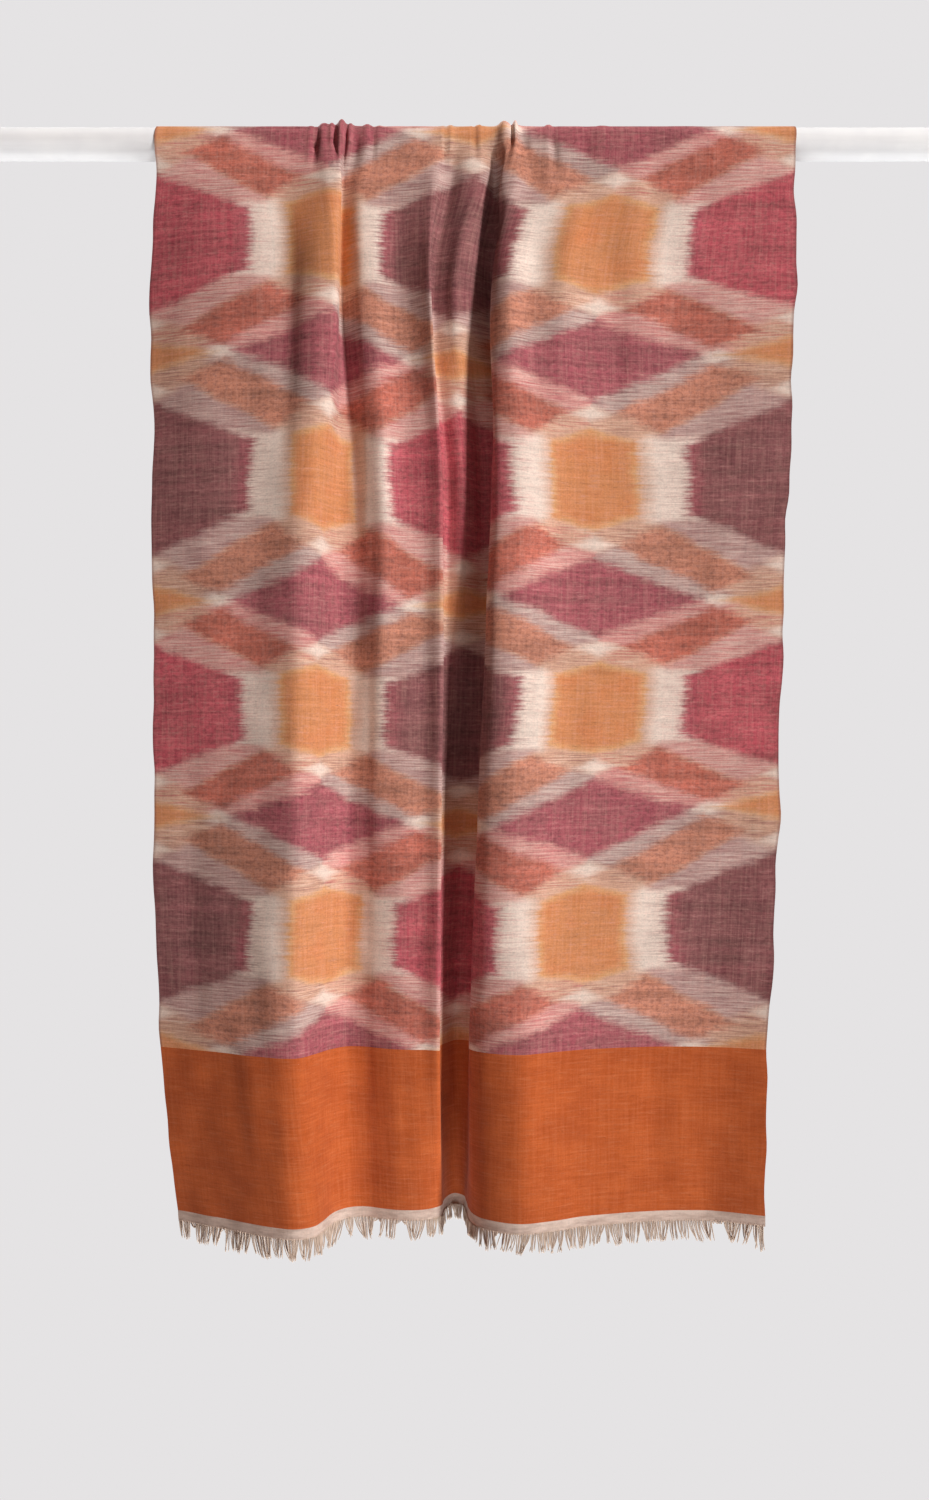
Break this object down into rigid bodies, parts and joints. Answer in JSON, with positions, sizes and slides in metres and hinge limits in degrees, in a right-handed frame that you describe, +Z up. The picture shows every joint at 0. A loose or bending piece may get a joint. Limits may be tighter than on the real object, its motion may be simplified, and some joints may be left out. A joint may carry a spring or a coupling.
{
  "type": "stole on a hanging rod",
  "caption": "Long woven stole with an ikat lattice field, plain end bands and short fringes, draped in vertical folds over a round hanging rod.",
  "frame": {"origin": "the middle of the rod's axis, where the rod is held", "axes": "+Z up, +X along the rod to the viewer's right, the front half of the stole on the -Y side facing the viewer"},
  "size_m": [1, 0.1665, 1.0638],
  "materials": {
    "ikat_cloth": "plain-woven ikat in crimson, plum, orange, brick, brown and cream, matt with a soft sheen",
    "terracotta_cloth": "plain-woven terracotta, slightly mottled, matt",
    "ecru_cloth": "undyed ecru yarn, matt",
    "rod_paint": "round wooden rod, painted satin white"
  },
  "bodies": {
    "root": {"field_front": "ikat_cloth", "field_over_rod": "ikat_cloth", "field_back": "ikat_cloth", "end_band_front": "terracotta_cloth", "end_band_back": "terracotta_cloth", "woven_edge_front": "ecru_cloth", "woven_edge_back": "ecru_cloth", "fringe_front": "ecru_cloth", "fringe_back": "ecru_cloth", "rod": "rod_paint"}
  },
  "joints": []
}
